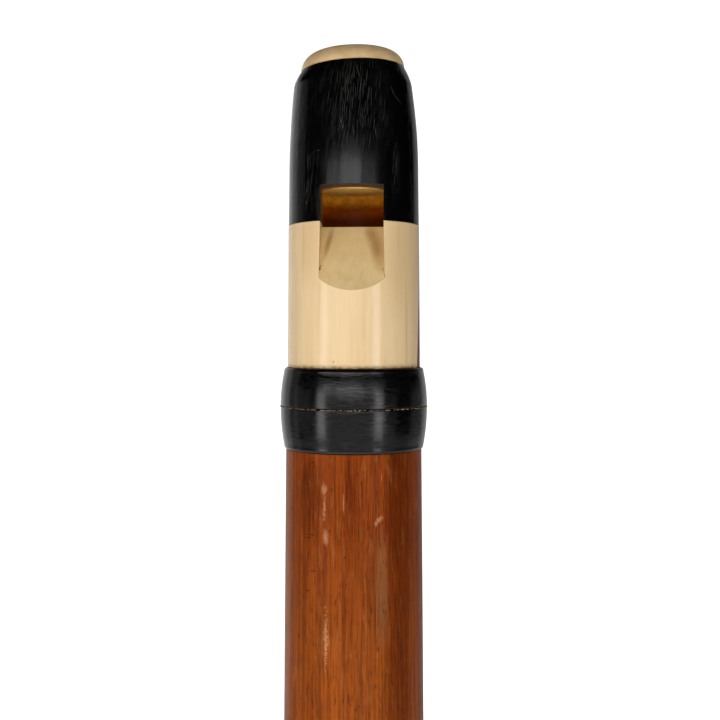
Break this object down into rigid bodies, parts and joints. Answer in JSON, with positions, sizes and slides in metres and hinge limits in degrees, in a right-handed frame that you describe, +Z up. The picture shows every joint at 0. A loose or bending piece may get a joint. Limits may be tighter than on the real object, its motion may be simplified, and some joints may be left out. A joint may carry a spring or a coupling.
{
  "type": "three-hole pipe",
  "caption": "Straight duct flute of oiled red wood in a body and a head, dressed in black horn and bone, with finger holes near its foot, standing upright.",
  "frame": {"origin": "centre of the foot's flat face, on the bore's axis", "axes": "+Z up the bore to the mouth end, -Y the front with the window and two finger holes, +Y the thumb hole's side"},
  "size_m": [0.0306, 0.0306, 0.4006],
  "materials": {
    "oiled_wood": "oiled red-brown hardwood with a long straight grain",
    "black_horn": "turned black horn, satin, finely scratched",
    "polished_bone": "cream bone, polished, lightly stained",
    "block_cedar": "bare cedar",
    "waxed_thread": "waxed thread, wound"
  },
  "bodies": {
    "body": {"body_tube": "oiled_wood", "lower_horn_ring": "black_horn", "foot_horn_ferrule": "black_horn", "foot_bone_cap": "polished_bone"},
    "lapping": {"thread_lapping": "waxed_thread"},
    "head": {"head_core": "oiled_wood", "upper_horn_ring": "black_horn", "bone_labium_shell": "polished_bone", "horn_mouthpiece": "black_horn", "mouth_tip_ring": "polished_bone", "fipple_block": "block_cedar"}
  },
  "joints": [
    {"name": "head_pull", "type": "slide", "parent": "body", "child": "lapping", "axis": [0, 0, 1], "range_m": [0, 0.03]},
    {"name": "head_twist", "type": "hinge", "parent": "lapping", "child": "head", "pos_m": [0, 0, 0.3335], "axis": [0, 0, 1], "continuous": true}
  ]
}
